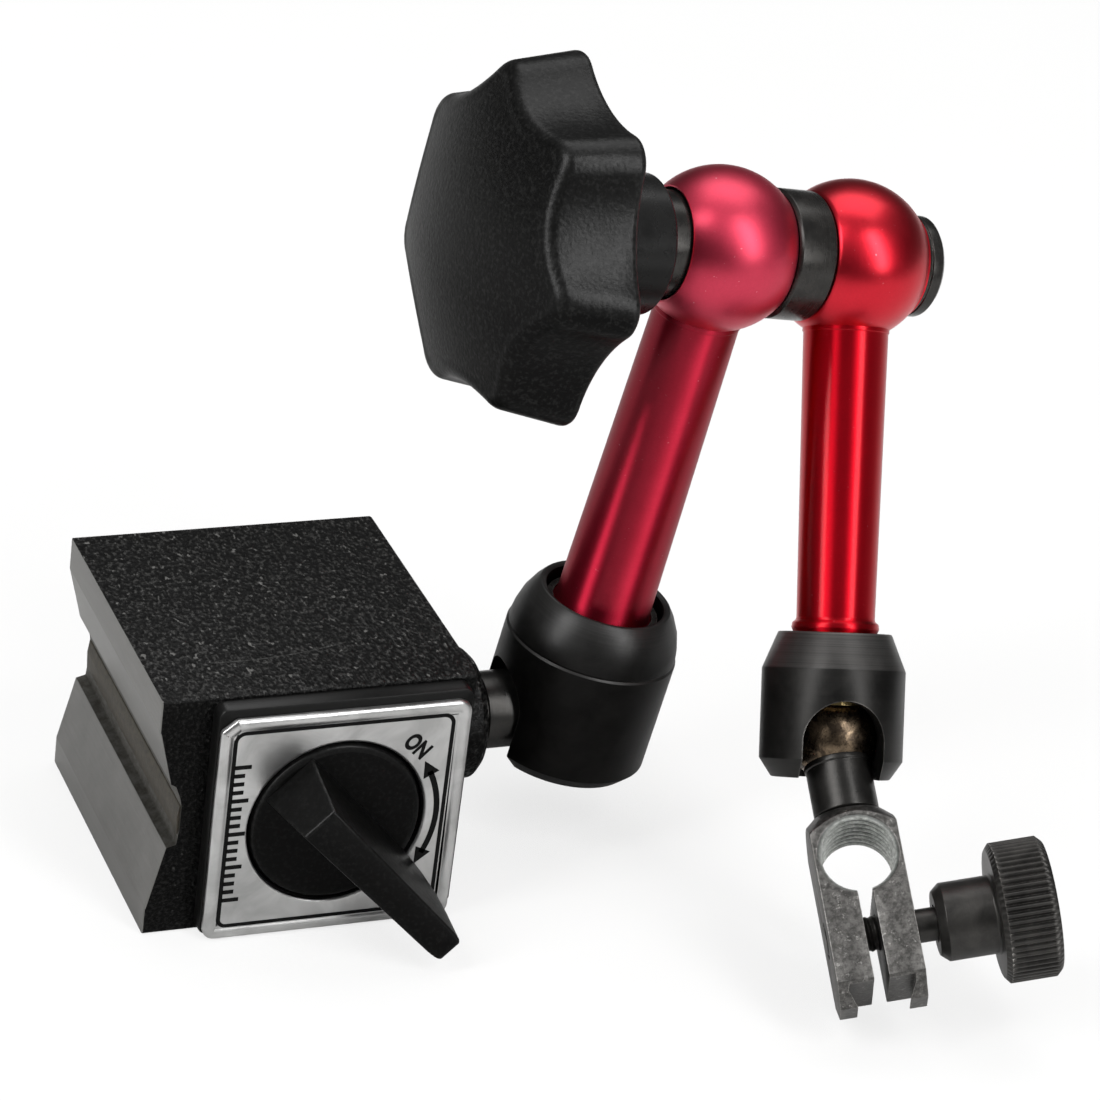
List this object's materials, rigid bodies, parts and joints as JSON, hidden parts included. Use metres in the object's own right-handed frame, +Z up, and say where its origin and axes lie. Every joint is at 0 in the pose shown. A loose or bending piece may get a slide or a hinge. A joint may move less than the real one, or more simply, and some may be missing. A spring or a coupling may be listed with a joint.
{
  "type": "mini magnetic base with articulated indicator arm",
  "caption": "Small switchable magnetic base lying on its side, with a ball-jointed two-tube arm locked by a central lobed knob and ending in a split clamp for a measuring stem.",
  "frame": {"origin": "centre of the side face that the base rests on, on the ground", "axes": "+Z up, -X is the normal of the V-groove working face, +X points to the face that carries the arm, -Y is the front with the switch"},
  "size_m": [0.0937, 0.0781, 0.0957],
  "materials": {
    "base_paint": "black crackle enamel; the working face is bare ground steel",
    "separator_brass": "dull strip of non-magnetic alloy",
    "bezel_black": "smooth black moulding",
    "plate_steel": "brushed plate with black printed lines",
    "magnet": "sintered magnet, unfinished",
    "bright_steel": "turned bright steel",
    "handle_plastic": "moulded satin black",
    "black_oxide": "turned steel, black oxide",
    "red_anodised": "red anodised, satin turned",
    "seat_brass": "turned brass",
    "knob_plastic": "finely textured moulded black",
    "clamp_steel": "milled grey steel, lightly oiled"
  },
  "bodies": {
    "base": {"pole_upper": "base_paint", "pole_lower": "base_paint", "separator_groove": "separator_brass", "separator_arm_side": "separator_brass", "arm_boss": "base_paint", "front_bezel": "bezel_black", "face_plate": "plate_steel", "back_cover": "bezel_black"},
    "switch": {"rotor_magnet": "magnet", "rotor_shaft": "bright_steel", "switch_handle": "handle_plastic"},
    "lower_stud": {"lower_ball_stud": "black_oxide"},
    "lower_cup": {"lower_socket": "black_oxide", "lower_retainer": "black_oxide"},
    "arm_1": {"lower_tube": "red_anodised", "elbow_ball_lower": "red_anodised", "tie_bolt": "bright_steel", "end_cap": "black_oxide"},
    "elbow_spacer": {"elbow_ring": "black_oxide"},
    "collar": {"lock_collar": "black_oxide"},
    "knob": {"lock_knob": "knob_plastic", "knob_insert": "seat_brass"},
    "rod_1": {"lower_push_rod": "bright_steel", "lower_ball_seat": "seat_brass"},
    "arm_2": {"upper_tube": "red_anodised", "elbow_ball_upper": "red_anodised"},
    "rod_2": {"upper_push_rod": "bright_steel", "upper_ball_seat": "seat_brass"},
    "upper_cup": {"upper_socket": "black_oxide", "upper_retainer": "black_oxide"},
    "upper_stud": {"upper_ball_stud": "black_oxide"},
    "clamp": {"clamp_block": "clamp_steel"},
    "screw_feed": {"screw_rod": "black_oxide"},
    "screw": {"screw_head": "black_oxide"}
  },
  "joints": [
    {"name": "magnet_switch", "type": "hinge", "parent": "base", "child": "switch", "pos_m": [0.0022, -0.0206, 0.01395], "axis": [0, -1, 0], "range_deg": [0, 90]},
    {"name": "lower_ball_spin", "type": "hinge", "parent": "base", "child": "lower_stud", "pos_m": [0.03665, -0.0026, 0.015], "axis": [1, 0, 0], "range_deg": [-180, 180]},
    {"name": "lower_ball_tilt", "type": "hinge", "parent": "lower_stud", "child": "lower_cup", "pos_m": [0.03665, -0.0026, 0.015], "axis": [0, 0.9998, 0.0201], "range_deg": [-5, 80]},
    {"name": "lower_tube_swivel", "type": "hinge", "parent": "lower_cup", "child": "arm_1", "pos_m": [0.03665, -0.0026, 0.015], "axis": [0.159, -0.0198, 0.9871], "range_deg": [-60, 170]},
    {"name": "elbow_fold", "type": "hinge", "parent": "arm_1", "child": "arm_2", "pos_m": [0.04593, -0.00376, 0.0726], "axis": [-0.9866, -0.0396, 0.1582], "range_deg": [-12, 285]},
    {"name": "spacer_spin", "type": "hinge", "parent": "arm_1", "child": "elbow_spacer", "pos_m": [0.04593, -0.00376, 0.0726], "axis": [0.9866, 0.0396, -0.1582], "continuous": true},
    {"name": "knob_turn", "type": "hinge", "parent": "collar", "child": "knob", "pos_m": [0.04593, -0.00376, 0.0726], "axis": [-0.9866, -0.0396, 0.1582], "range_deg": [0, 270]},
    {"name": "collar_feed", "type": "slide", "parent": "arm_1", "child": "collar", "axis": [-0.9866, -0.0396, 0.1582], "range_m": [0, 0.00075]},
    {"name": "lower_rod_release", "type": "slide", "parent": "arm_1", "child": "rod_1", "axis": [0.159, -0.0198, 0.9871], "range_m": [0, 0.0003]},
    {"name": "upper_rod_release", "type": "slide", "parent": "arm_2", "child": "rod_2", "axis": [0.1182, 0.4945, 0.8611], "range_m": [0, 0.0003]},
    {"name": "upper_socket_swivel", "type": "hinge", "parent": "arm_2", "child": "upper_cup", "pos_m": [0.05619, -0.02911, 0.02466], "axis": [0.1182, 0.4945, 0.8611], "continuous": true},
    {"name": "upper_ball_tilt", "type": "hinge", "parent": "upper_cup", "child": "upper_stud", "pos_m": [0.05619, -0.02911, 0.02466], "axis": [-0.9728, 0.1829, -0.1424], "range_deg": [-20, 60]},
    {"name": "clamp_spin", "type": "hinge", "parent": "upper_stud", "child": "clamp", "pos_m": [0.05619, -0.02911, 0.02466], "axis": [-0.0634, -0.8008, -0.5956], "continuous": true},
    {"name": "clamp_screw_feed", "type": "slide", "parent": "clamp", "child": "screw_feed", "axis": [0.9345, -0.2571, 0.2462], "range_m": [-0.0021, 0.0007]},
    {"name": "clamp_screw_turn", "type": "hinge", "parent": "screw_feed", "child": "screw", "pos_m": [0.05471, -0.04776, 0.01078], "axis": [0.9345, -0.2571, 0.2462], "range_deg": [-1080, 360]}
  ],
  "couplings": [
    {"joint": "collar_feed", "follows": "knob_turn", "m_per_rad": 0.00015914},
    {"joint": "lower_rod_release", "follows": "knob_turn", "m_per_rad": 0.000063656},
    {"joint": "upper_rod_release", "follows": "knob_turn", "m_per_rad": 0.000063656},
    {"joint": "clamp_screw_turn", "follows": "clamp_screw_feed", "rad_per_m": 8975.1}
  ]
}
